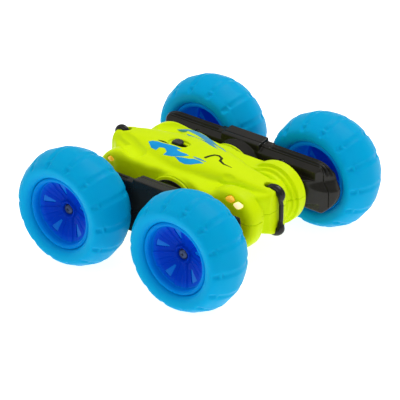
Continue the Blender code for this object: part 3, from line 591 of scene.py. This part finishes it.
def body_outer(x, y, z, detail=True):
    ay = np.abs(y)
    v = np.abs(z - BODY_Z)
    w = np.where(z < BODY_Z, v / (1 + 0.16 * step(40, 55, x)), v)                  # the nose is a little deeper below
    hood = oval(ay, w, np.interp(x, FINE, HOOD_W_F), np.interp(x, FINE, HOOD_H_F), np.interp(x, FINE, HOOD_N_F))
    block = oval(ay, w, np.interp(x, FINE, BLOCK_W_F), np.interp(x, FINE, BLOCK_H_F), 7.0)
    f = smin(hood, block, 1.4)
    # fender band from pod to pod, its top dipping into a valley beside the hood
    top = np.interp(x, FINE, BAND_F) - 0.012 * np.maximum(ay - 20.0, 0) ** 2
    ridge = 12.0 + 0.10 * np.maximum(x - 4.0, 0) + 0.16 * np.maximum(-x - 24, 0)
    dip = 5.6 * step(0.0, 3.6, ridge - ay) * np.maximum(step(8, 26, x), step(26, 40, -x))
    band = smax(v - (top - dip), ay - 27.7 + 2.3 * (1 - step(11, 21, np.abs(x))), 3.0)
    band = smax(band, np.abs(x + 1.0) - 44.0, 4.0)
    f = smin(f, band, 1.7)
    # leaf-shaped scoops beside the nose, then the nose and the tail end square
    f = smax(f, -capsule_cut(x, ay, BODY_Z + v, (51.0, 12.8, 57.7), (29.0, 14.0, 60.1), (5.6, 7.4)), 0.35)
    f = smax(f, x - 57.1, 0.9)
    f = smax(f, -63.8 - x, 0.9)
    # pods: the front ones stepped in three tiers on the inner side and well rounded on the outer one
    d = np.hypot(x - 40.0, z - 37.7)
    if detail:
        tier = 19.3 - 1.9 * step(17.6, 17.1, ay) - 1.7 * step(14.8, 14.3, ay) - 2.6 * step(11.8, 10.0, ay)
    else:
        tier = 19.3 - 2.6 * step(19.5, 17.5, ay) - 3.6 * step(14.4, 9.0, ay)
    f = smin(f, smax(d - tier, ay - 27.4, 6.0), 1.3)
    d = np.hypot(x + 40.0, z - 38.0)
    f = smin(f, smax(d - 19.6 + 2.2 * step(20.0, 13.0, ay) + 3.0 * step(13.0, 9.0, ay), ay - 27.6, 4.5), 1.6)
    # broad leaf-shaped facets beside the tail
    f = smax(f, -capsule_cut(x, ay, BODY_Z + v, (-54.5, 9.8, 62.3), (-34.0, 20.0, 61.6), (7.0, 8.0)), 0.35)
    # hub with a groove round its edge
    d = np.hypot(x, z - AXLE_Z)
    groove = 1.5 * np.exp(-((ay - 26.3) / 0.5) ** 4) if detail else 0.0
    hub = smax(d - (17.6 - groove), ay - 28.2, 0.7)
    f = smin(f, hub, 1.0)
    return f


# centre x, centre z and half widths of each lens, mm
LAMPS = {"front": (48.2, 50.5, 3.0, 2.0), "marker": (42.6, 52.9, 3.1, 1.9), "rear": (-47.4, 51.0, 2.4, 1.6)}


def lamp_shape(x, z, kind):
    cx, cz, wx, wz = LAMPS[kind]
    return (((np.abs(x - cx) / wx) ** 1.5 + (np.abs(z - cz) / wz) ** 1.5) ** (1 / 1.5) - 1) * 1.9


def posts(x, y, z):
    d = np.minimum(np.hypot(x - 38, np.abs(y) - 19.5), np.hypot(x + 38, np.abs(y) - 19.5))
    return d


HOOK_X, TAIL_X = 50.1, -57.9


def shell_fn(upper):
    def fn(x, y, z):
        out = body_outer(x, y, z)
        if not upper:
            pad = np.maximum(np.maximum(slab(x, -34.1, 28.2), np.abs(y) - 11.1), slab(z, 21.5, 27.0))
            out = smin(out, pad, 1.2)
        inner = body_outer(x, y, z, False) + 2.3
        f = smax(out, -inner, 0.4)
        ay = np.abs(y)
        p = posts(x, y, z)
        span_ok = slab(z, 43.0, 55.0) if upper else slab(z, 20.5, 37.0)
        post = np.maximum(np.maximum(p - (3.0 if upper else 3.6), span_ok), out + 0.2)
        f = smin(f, post, 0.5)
        f = smax(f, -np.maximum(p - 1.45, z - 53.0), 0.3) if upper else smax(f, -np.maximum(p - 1.45, z - 60), 0.3)
        # bores of the pivots
        f = smax(f, -(np.hypot(x, z - AXLE_Z) - 14.4), 0.4)
        # holes for the bumper hooks
        for hx in (HOOK_X, TAIL_X):
            hole = np.maximum(np.hypot(x - hx, y) - 2.9, (46.0 - z) if upper else (z - 34.0))
            f = smax(f, -hole, 0.8)
        if upper:
            oval_cut = np.maximum(oval(np.abs(x + 17.0), ay, 7.2, 4.0, 2.6), 59.3 - z)
            f = smax(f, -oval_cut, 0.9)
            slot = np.maximum(np.maximum(np.abs(x + 17.0) - 5.2, ay - 2.0), 54.0 - z)
            f = smax(f, -slot, 0.5)
            for kind in LAMPS:
                f = smax(f, -np.maximum(np.maximum(lamp_shape(x, z, kind) - 0.2, -1.55 - out), 17.2 - ay), 0.15)
            return smax(f, (BODY_Z + 0.04) - z, 0.05)
        f = smax(f, -np.maximum(p - 2.75, z - 26.2), 0.4)
        ledge = np.maximum(np.maximum(slab(x, -32.4, 26.4), ay - 9.85), z - 22.1)
        bay = np.maximum(np.maximum(slab(x, -29.5, 15.4), ay - 8.4), z - 26.3)
        f = smax(f, -ledge, 0.25)
        f = smax(f, -bay, 0.25)
        f = smax(f, -(np.hypot(x - 21.0, y) - 4.6 + 100 * np.maximum(z - 27.5, 0)), 0.25)
        return smax(f, z - (BODY_Z - 0.04), 0.05)
    return fn


H_BODY = 0.5
UPPER = nets(shell_fn(True), (-64.6, -29.4, 39.4), (59.5, 29.4, 62.3), H_BODY)
LOWER = nets(shell_fn(False), (-64.6, -29.4, 16.6), (59.5, 29.4, 40.8), H_BODY)
upper_skin = piece("upper_shell_skin", *UPPER, LIME, "body", ("upper_shell",), recalc=False)
lower_skin = piece("lower_shell_skin", *LOWER, LIME, "body", ("lower_shell",), recalc=False)


# ---- side arms ---------------------------------------------------------------------------------------
ARM_IN, ARM_OUT, ARM_Z = 28.85, 46.9, 36.9


def arm_outer(x, y, z):
    """One arm's outside, drawn on the left."""
    ax, v = np.abs(x), np.abs(z - ARM_Z)
    bar = np.hypot(np.maximum(ax - 52.0, 0), v) - 16.5
    # plan: the inner corner of each end is swept back in a quarter round
    q = oval(np.maximum(ax - 43.0, 0), np.maximum(46.4 - y, 0), 25.7, 17.7, 1.5)
    q = np.where(ax > 42.0, q, -5.0)
    f = smax(bar, q, 0.8)
    # top and bottom fall towards the body
    f = smax(f, (ax - 28.6 - 0.80 * y - 0.11 * np.maximum(45.0 - z, 0) ** 2) * 0.75, 3.2)
    f = smax(f, (v - 16.3 + 0.66 * np.maximum(41.6 - y, -1.5)) * 0.83, 0.5)
    f = smax(f, np.minimum(36.0 - y, v - 7.6), 0.4)
    f = smax(f, slab(y, ARM_IN, ARM_OUT), 1.0)
    # rails along the top: two narrow grooves either side of the seam, and a step at the outer edge
    for yc, w, dpt in ((41.6, 0.55, 1.3), (43.8, 0.50, 1.2)):
        f = f + dpt * np.exp(-((y - yc) / w) ** 2) * step(9.0, 12.0, v) * step(19.0, 20.5, ax)
    f = f + 0.6 * step(45.1, 45.4, y) * step(10, 13, v) * step(19.0, 20.0, ax)
    # saddle over the pivot, its inner edge rounded down towards the drum
    sad = smax(np.maximum(ax - 15.2 + 0.10 * np.maximum(v - 8, 0), v - 18.0 - 0.14 * (y - 42.2)), slab(y, 36.4, ARM_OUT), 0.7)
    f = smin(f, sad, 0.3)
    # a cone between the saddle and the body
    d = np.hypot(x, z - AXLE_Z)
    cone = smax((d - 17.6 + 0.55 * np.maximum(36.8 - y, 0)) * 0.87, slab(y, 29.2, 38.0), 0.4)
    f = smin(f, cone, 0.3)
    # drum round the pivot
    d = np.hypot(x, z - AXLE_Z)
    f = smin(f, smax(d - 13.7, slab(y, 28.9, 38.0), 0.5), 0.6)
    f = np.minimum(f, smax(d - 13.7, slab(y, 12.0, 31.0), 0.6))
    return f


def arm_fn(outer_half):
    def fn(x, y, z):
        ax, v = np.abs(x), np.abs(z - ARM_Z)
        out = arm_outer(x, y, z)
        if outer_half:
            bosses = np.minimum.reduce([smax(np.hypot(ax - 43.2, z - AXLE_Z) - 4.5, slab(y, 44.6, 48.2), 0.5)])
            out = smin(out, bosses, 0.6)
        cav = np.hypot(np.maximum(ax - 51.6, 0), v) - 14.6
        cav = np.maximum(cav, np.where(ax > 42.0, oval(np.maximum(ax - 41.0, 0), np.maximum(44.8 - y, 0), 23.4, 13.8, 1.5), -9.0))
        cav = np.maximum(cav, (ax - 25.4 - 0.80 * y - 0.11 * np.maximum(45.0 - z, 0) ** 2) * 0.75)
        cav = np.maximum(cav, (v - 13.8 + 0.66 * np.maximum(41.6 - y, 0)) * 0.83)
        cav = np.maximum(cav, np.minimum(38.0 - y, v - 5.6))
        cav = np.maximum(cav, slab(y, ARM_IN + 1.8, ARM_OUT - 1.8))
        bush = np.minimum(np.hypot(ax - 43.2, z - AXLE_Z) - 4.2, np.hypot(ax - 20.8, z - AXLE_Z) - 3.2)
        keep_out = slab(y, 37.9, 43.4)
        cav = np.maximum(cav, -np.maximum(bush, -keep_out))
        f = smax(out, -cav, 0.3)
        if not outer_half:
            f = smax(f, -np.maximum(np.hypot(x, z - AXLE_Z) - 12.2, y - 37.5), 0.3)
            screw = np.hypot(ax - 32.3, v - 10.6)
            f = smax(f, -np.maximum(screw - 2.75, y - 37.3), 0.25)
            f = smax(f, -(screw - 1.4), 0.2)
        holes = np.minimum(np.hypot(ax - 43.2, z - AXLE_Z) - 1.8, np.hypot(ax - 20.8, z - AXLE_Z) - 1.5)
        holes = np.maximum(holes, slab(y, 30.9, 60.0 if outer_half else 45.3))
        f = smax(f, -holes, 0.3)
        return smax(f, (40.05 - y) if outer_half else (y - 39.95), 0.06)
    return fn


H_ARM = ((0.5, 0.4, 0.5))
ARM = {False: nets(arm_fn(False), (-69, 11.2, 17.6), (69, 40.6, 56.4), H_ARM), True: nets(arm_fn(True), (-69, 39.4, 17.6), (69, 48.8, 56.4), H_ARM)}
for sn, s in (("left", 1), ("right", -1)):
    for outer_half, nm in ((False, "arm_inner_shell"), (True, "arm_outer_shell")):
        v, f = ARM[outer_half]
        v = v * np.array([s, s, 1.0])
        piece(f"{sn}_{nm}_skin", v, f, GLOSSY, f"{sn}_arm", (f"{sn}_{nm}",), recalc=False)


for sn, s in (("left", 1), ("right", -1)):
    for n in sorted(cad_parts):
        if not (n.startswith(sn) and "arm_screw" in n):
            continue
        lo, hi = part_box(n)
        cx, cz = (lo.x + hi.x) / 2 / MM, (lo.z + hi.z) / 2 / MM
        cross_screw(f"{n}_head", (cx, s * 37.2, cz), (0, -s, 0), 2.4, 0.95, 1.15, 7.4, f"{sn}_arm", (n,), DARK_STEEL)


# ---- bumpers ---------------------------------------------------------------------------------------------
def bumper(name, hook, rod_x, drop):
    """A moulded rod that curls into the roof, runs down the tip and curls into the underside. hook is its top half: x, z and radius."""
    top = smooth_profile(hook, 5)
    mid = np.array([(rod_x, BODY_Z + k, 1.4) for k in (4.0, 1.0, -3.0, -6.0)])
    low = top[::-1].copy()
    low[:, 1] = 2 * BODY_Z - low[:, 1] - drop
    p = np.concatenate([top, mid, low])
    v, f = tube(p[:, :2], p[:, 2], 20)
    return piece(f"{name}_rod", v, f, GLOSSY, "body", (name,))


bumper("front_bumper", [(49.6, 47.6, 1.5), (49.8, 49.8, 1.8), (50.8, 51.6, 2.3), (52.6, 52.6, 2.65), (55.0, 52.8, 2.75), (57.2, 52.0, 2.8), (58.7, 50.5, 2.7), (59.1, 48.8, 2.35), (58.9, 47.0, 1.8), (58.9, 45.4, 1.4)], 59.3, 2.2)
bumper("rear_bumper", [(-57.8, 52.0, 1.5), (-58.1, 54.2, 1.7), (-59.2, 56.0, 2.0), (-61.0, 56.7, 2.2), (-62.8, 56.2, 2.35), (-64.2, 54.9, 2.45), (-64.8, 53.0, 2.3), (-64.5, 51.0, 1.7), (-64.2, 49.2, 1.35)], -64.1, 0.0)


# ---- switch ---------------------------------------------------------------------------------------------------
def switch_knob():
    lo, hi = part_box("switch_slider")
    cx = (lo.x + hi.x) / 2 / MM

    def fn(x, y, z):
        dome = smax(oval(np.abs(x - cx), np.abs(y), 3.5, 2.9, 3.0), z - (61.4 - 0.05 * (x - cx) ** 2), 0.5)
        dome = smax(dome, 58.9 - z, 0.3)
        dome = dome + 0.35 * np.exp(-((np.mod(x - cx + 0.55, 1.1) - 0.55) / 0.22) ** 2) * step(60.2, 60.7, z)
        stem = np.maximum(np.maximum(np.abs(x - cx + 0.1) - 0.8, np.abs(y) - 0.8), slab(z, 55.7, 59.5))
        return np.minimum(dome, stem)
    v, f = nets(fn, (cx - 4.4, -3.6, 55.2), (cx + 4.4, 3.6, 62.2), 0.16)
    piece("switch_knob", v, f, BLACK, "power_switch", ("switch_slider",), recalc=False)


switch_knob()

# ---- lamps ------------------------------------------------------------------------------------------------------
def lamp_lens(name, kind, s, mat, replaces=()):
    """A lens that follows the body's own surface, standing a little proud of it."""
    cx, cz, wx, wz = LAMPS[kind]

    def fn(x, y, z):
        skin = body_outer(x, y, z)
        face = smax(skin - 0.45 + 0.3 * (np.abs(x - cx) / wx + np.abs(z - cz) / wz), -1.35 - skin, 0.2)
        return smax(np.maximum(face, 17.0 - s * y), lamp_shape(x, z, kind), 0.3)
    v, f = nets(fn, (cx - wx - 1, min(s * 16.8, s * 29.0), cz - wz - 1), (cx + wx + 1, max(s * 16.8, s * 29.0), cz + wz + 1), 0.22)
    piece(name, v, f, mat, "body", replaces, recalc=False)


for sy, sn in ((1, "left"), (-1, "right")):
    lamp_lens(f"front_{sn}_lamp_lens", "front", sy, LAMP, (f"front_{sn}_lamp",))
    lamp_lens(f"front_{sn}_marker_lens", "marker", sy, AMBER)
    lamp_lens(f"rear_{sn}_lamp_lens", "rear", sy, AMBER, (f"rear_{sn}_lamp",))
    # a black ring laid in the groove of each hub is painted shade that darkens the groove, and a thin washer fills the
    # gap to the arm
    ring = smooth_profile([(15.6, 26.05), (16.9, 26.05), (16.9, 26.55), (15.6, 26.55)], 2, True)
    v, f = revolve(ring[::-1], 96, (0, 0, AXLE_Z), sy)
    keep = [q for q in f]
    piece(f"{sn}_hub_groove_shade", v, keep, BLACK, "body", sharp=40)
    wash = [(14.6, 28.3), (15.6, 28.3), (15.75, 28.45), (15.75, 28.62), (15.6, 28.75), (14.6, 28.75), (14.5, 28.6), (14.5, 28.4)]
    v, f = revolve(wash[::-1], 96, (0, 0, AXLE_Z), sy)
    piece(f"{sn}_pivot_washer", v, f, BLACK, "body", (f"{sn}_pivot_ring",), sharp=40)


# ---- printed patches ----------------------------------------------------------------------------------------------
def bvh(mesh):
    v, f = mesh
    return BVHTree.FromPolygons([tuple(p) for p in v], [tuple(int(i) for i in q) for q in f])


ROOF = bvh(UPPER)


def patch(name, outline, mat, thick=0.10):
    """A thin printed shape laid on the roof: outline is (x, y) points, mm."""
    pts = [Vector(p) for p in outline]
    n = len(pts)
    xs, ys = [p.x for p in pts], [p.y for p in pts]
    grid = [Vector((x, y)) for x in np.arange(min(xs), max(xs), 1.0) for y in np.arange(min(ys), max(ys), 1.0)]

    def inside(p):
        c = False
        for i in range(n):
            a, b = pts[i], pts[i - 1]
            if (a.y > p.y) != (b.y > p.y) and p.x < (b.x - a.x) * (p.y - a.y) / (b.y - a.y) + a.x:
                c = not c
        return c
    grid = [p for p in grid if inside(p) and min((p - q).length for q in pts) > 0.5]
    vs, es, fs, *_ = delaunay_2d_cdt(pts + grid, [(i, (i + 1) % n) for i in range(n)], [list(range(n))], 1, 1e-5)
    out = []
    for p in vs:
        hit = ROOF.ray_cast(Vector((p.x, p.y, 80.0)), Vector((0, 0, -1)))
        out.append((p.x, p.y, hit[0].z if hit[0] else 58.0))
    out = np.array(out)
    up, dn = out + [0, 0, thick], out - [0, 0, 0.35]
    m = len(out)
    faces = [tuple(f) for f in fs] + [tuple(i + m for i in f[::-1]) for f in fs]
    count = {}
    for f in fs:
        for i in range(len(f)):
            e = (f[i], f[(i + 1) % len(f)])
            count[e] = 1
    for a, b in list(count):
        if (b, a) not in count:
            faces.append((b, a, a + m, b + m))
    return piece(name, np.concatenate([up, dn]), faces, mat, "body", sharp=30)


def stroke(points, widths):
    """The outline of a line of changing width."""
    p = np.array(points, float)
    w = np.array(widths, float) / 2
    t = np.gradient(p, axis=0)
    t /= np.linalg.norm(t, axis=1)[:, None]
    nrm = np.stack([-t[:, 1], t[:, 0]], 1)
    return [tuple(q) for q in p + nrm * w[:, None]] + [tuple(q) for q in (p - nrm * w[:, None])[::-1]]


# flashes beside the switch: two solid blue ones on the right, two pale sweeps on the left, thin dark strokes
patch("flash_blue_1", [(-33.9, -8.6), (-32.3, -6.9), (-28.7, -6.2), (-24.4, -6.2), (-19.3, -5.9), (-15.0, -5.4), (-10.2, -6.1), (-12.9, -8.0), (-9.0, -8.7), (-4.8, -8.5), (-2.2, -8.9), (-5.6, -11.6), (-11.4, -14.2), (-17.2, -15.0), (-16.6, -12.4), (-19.9, -10.2), (-23.5, -10.6), (-24.1, -13.3), (-28.5, -12.6)], INK_BLUE)
patch("flash_blue_2", [(-9.6, -13.6), (-4.3, -12.1), (-0.6, -11.3), (2.2, -9.7), (5.8, -9.4), (9.4, -9.8), (6.2, -12.0), (3.0, -14.2), (-0.6, -15.4), (-4.6, -15.4)], INK_BLUE)
patch("flash_thin_1", stroke([(-29.7, -4.5), (-26.0, -4.6), (-21.2, -5.0)], (0.3, 1.4, 0.3)), INK_DARK)
patch("flash_thin_2", stroke([(0.3, -8.3), (4.8, -8.3), (9.6, -7.9)], (0.4, 1.6, 0.3)), INK_PALE)
patch("flash_pale_1", [(-37, 22.2), (-33, 24.4), (-26, 25.6), (-18, 25.2), (-10, 23.2), (-3, 20.0), (4, 15.6), (10.4, 10.4), (3, 13.0), (-4, 16.4), (-12, 19.6), (-20, 21.4), (-28, 22.4)], INK_PALE)
patch("flash_pale_2", [(-27, 18.8), (-18, 19.0), (-10, 17.2), (-2, 13.8), (5, 9.2), (-2, 10.2), (-10, 13.3), (-18, 15.8), (-24, 17.2)], INK_PALE)
patch("flash_dark", stroke([(6.4, -5.2), (7.2, -1.8), (8.6, 1.6), (10.9, 2.7), (14.0, 1.6), (15.0, -1.4), (18.7, -2.8), (24.6, -2.2)], (1.7, 1.6, 1.5, 1.5, 1.6, 1.8, 1.2, 0.15)), INK_DARK)

az, el = math.radians(38.79), math.radians(27.73)
back = Vector((math.sin(az) * math.cos(el), -math.cos(az) * math.cos(el), math.sin(el)))
right = Vector((math.cos(az), math.sin(az), 0))
up = back.cross(right)
target = Vector((1.43, -3.38, 29.26)) * MM

# ---- remaining CAD nodes keep their shape ----------------------------------------------------------------------------
KEEP = {"battery_door": LIME, "battery_door_screw": STEEL, "battery_cell": CELL, "receiver_board": BOARD, "switch_body": BLACK}
for n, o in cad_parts.items():
    if n in KEEP:
        mat = KEEP[n]
    elif "shell_screw" in n or n.endswith(("_drive_motor", "_idler_pin", "_arm_screw", "_axle")):
        mat = STEEL
    elif n.endswith(("_pinion", "_idler_gear", "_wheel_gear")):
        mat = NYLON
    elif n.endswith("_pivot_ring"):
        mat = BLACK
    else:
        continue
    for s in o.material_slots:
        s.link = "OBJECT"
        s.material = mat

# ---- stage -----------------------------------------------------------------------------------------------------------
fl = bpy.data.meshes.new("floor")
fl.from_pydata([(-8, -8, 0), (8, -8, 0), (8, 8, 0), (-8, 8, 0)], [], [(0, 1, 2, 3)])
floor_mat, nt, b = nodes_of("floor_paper")
co = nt.nodes.new("ShaderNodeTexCoord").outputs["Object"]
nt.links.new(ramp(nt, noise(nt, co, 6.0), ((0.3, (0.56, 0.56, 0.56)), (0.7, (0.59, 0.59, 0.59)))), b.inputs["Base Color"])
b.inputs["Roughness"].default_value = 0.9
b.inputs["Specular IOR Level"].default_value = 0.1
b.inputs["Emission Color"].default_value = (1, 1, 1, 1)
b.inputs["Emission Strength"].default_value = 0.90
fl.materials.append(floor_mat)
floor = bpy.data.objects.new("floor", fl)
floor.location = (0, 0, -0.0002)
bpy.context.scene.collection.objects.link(floor)

world = bpy.data.worlds.new("studio")
world.use_nodes = True
wt = world.node_tree
sky = wt.nodes.new("ShaderNodeSeparateXYZ")
wt.links.new(wt.nodes.new("ShaderNodeTexCoord").outputs["Generated"], sky.inputs[0])
wt.links.new(ramp(wt, sky.outputs["Z"], ((0.0, (0.36, 0.36, 0.37)), (0.45, (0.52, 0.52, 0.53)), (1.0, (1.0, 1.0, 1.0)))), wt.nodes["Background"].inputs["Color"])
wt.nodes["Background"].inputs["Strength"].default_value = 0.72
bpy.context.scene.world = world


def area(name, loc, to, size, power, color=(1, 1, 1)):
    li = bpy.data.lights.new(name, "AREA")
    li.shape = "RECTANGLE"
    li.size, li.size_y = size
    li.energy = power
    li.color = color
    o = bpy.data.objects.new(name, li)
    o.location = loc
    o.rotation_mode = "QUATERNION"
    o.rotation_quaternion = (Vector(to) - Vector(loc)).to_track_quat("-Z", "Y")
    bpy.context.scene.collection.objects.link(o)


area("key", (0.12, 0.62, 1.15), (0, 0, 0.03), (0.7, 0.7), 8.0)
area("fill", (-0.15, -1.2, 0.9), (0, 0, 0.03), (1.2, 0.6), 3.6)
area("front", (1.3, 0.1, 0.55), (0, 0, 0.03), (0.5, 0.8), 1.5)
area("side", (-1.1, -0.35, 0.7), (0, 0, 0.03), (0.35, 0.9), 1.3)

cam_data = bpy.data.cameras.new("camera")
cam = bpy.data.objects.new("camera", cam_data)
cam.matrix_world = Matrix.Translation(target + back * 1.39116) @ Matrix((right, up, back)).transposed().to_4x4()
cam_data.sensor_width = 36
cam_data.lens = 210.0
cam_data.clip_end = 50
bpy.context.scene.collection.objects.link(cam)
bpy.context.scene.camera = cam
bpy.context.scene.view_settings.view_transform = "Standard"
